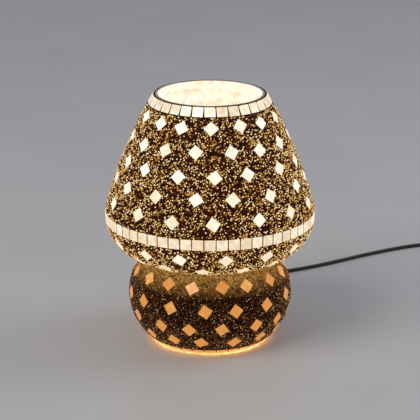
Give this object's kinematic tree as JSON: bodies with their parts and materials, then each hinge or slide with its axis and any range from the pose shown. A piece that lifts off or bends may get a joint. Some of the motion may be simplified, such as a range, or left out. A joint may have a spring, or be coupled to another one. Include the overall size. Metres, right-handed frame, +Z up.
{
  "type": "mosaic glass table lamp",
  "caption": "Mushroom-shaped mosaic glass table lamp: open-topped shade and round base in one glass body, flat glass tiles in beaded grout, screw lampholder, flex with in-line switch.",
  "frame": {"origin": "centre of the foot, on the surface the lamp stands on", "axes": "+Z up along the glass body's axis, front of the lamp to -Y, the flex leaves at the back (+Y) and runs to +X"},
  "size_m": [0.4014, 0.3625, 0.235],
  "materials": {
    "clear_glass": "clear blown soda glass, smooth",
    "beaded_grout": "near-black grout set all over with small gold-clear glass beads",
    "dark_grout": "matte dark cement grout",
    "cream_glass_tile": "opal cream pressed glass, slightly wavy gloss",
    "amber_glass_tile": "opal cream glass that reads amber where the light is weaker",
    "zinc_steel": "zinc-plated steel",
    "black_rubber": "soft moulded rubber",
    "brass": "plain brass",
    "holder_plastic": "moulded thermoplastic",
    "terminal_ceramic": "glazed insulating block",
    "bulb_glass": "clear thin glass",
    "nickel": "nickel plate",
    "solder": "dull solder",
    "black_glass": "black insulating glass",
    "black_flex": "smooth flexible cable sheath, satin",
    "black_plastic": "moulded plastic, satin",
    "tie_strap": "woven hook-and-loop strap"
  },
  "bodies": {
    "root": {"base_coat": "beaded_grout", "base_diamonds_row_1": "amber_glass_tile", "base_diamonds_row_2": "amber_glass_tile", "base_diamonds_row_3": "amber_glass_tile", "base_diamonds_row_4": "amber_glass_tile", "bracket_feet": "black_rubber", "centre_contact": "brass", "coil_tie": "tie_strap", "cord_coil": "black_flex", "cord_coil_to_plug": "black_flex", "cord_grommet": "black_rubber", "cord_lamp_to_switch": "black_flex", "cord_switch_to_coil": "black_flex", "core_wires": "black_flex", "foot_grout": "dark_grout", "foot_tiles": "amber_glass_tile", "glass_base_lower": "clear_glass", "glass_base_upper": "clear_glass", "glass_shade": "clear_glass", "holder_bracket": "zinc_steel", "holder_cap": "holder_plastic", "holder_shell": "holder_plastic", "holder_washer": "zinc_steel", "inner_cord": "black_flex", "nipple_nut": "zinc_steel", "plug_body": "black_plastic", "plug_pins": "nickel", "rim_grout": "dark_grout", "rim_tiles": "cream_glass_tile", "rocker_pin": "zinc_steel", "screw_sleeve": "brass", "shade_band_grout": "dark_grout", "shade_band_tiles": "cream_glass_tile", "shade_coat_lower": "beaded_grout", "shade_coat_upper": "beaded_grout", "shade_diamonds_row_1": "cream_glass_tile", "shade_diamonds_row_2": "cream_glass_tile", "shade_diamonds_row_3": "cream_glass_tile", "shade_diamonds_row_4": "cream_glass_tile", "shade_diamonds_row_5": "cream_glass_tile", "strain_relief": "black_rubber", "switch_bottom": "black_plastic", "switch_contacts": "brass", "switch_screws": "zinc_steel", "switch_top": "black_plastic", "terminal_block": "terminal_ceramic", "terminal_screws": "zinc_steel", "threaded_nipple": "brass", "under_diamonds_row_1": "cream_glass_tile", "under_diamonds_row_2": "cream_glass_tile"},
    "bulb_carriage": {"bulb_tip": "solder"},
    "bulb": {"bulb_cap": "nickel", "bulb_insulator": "black_glass", "bulb_envelope": "bulb_glass", "bulb_stem": "bulb_glass", "bulb_filament": "nickel"},
    "switch_rocker_body": {"switch_rocker": "black_plastic"}
  },
  "joints": [
    {"name": "bulb_lift", "type": "slide", "parent": "root", "child": "bulb_carriage", "axis": [0, 0, 1], "range_m": [0, 0.0085]},
    {"name": "bulb_turn", "type": "hinge", "parent": "bulb_carriage", "child": "bulb", "pos_m": [0, 0, 0.118], "axis": [0, 0, 1], "range_deg": [0, 1080]},
    {"name": "switch_rocker_tilt", "type": "hinge", "parent": "root", "child": "switch_rocker_body", "pos_m": [0.291, 0.174, 0.0105], "axis": [1, 0, 0], "range_deg": [-18, 0]}
  ],
  "couplings": [
    {"joint": "bulb_lift", "follows": "bulb_turn", "m_per_rad": 0.00044914}
  ]
}
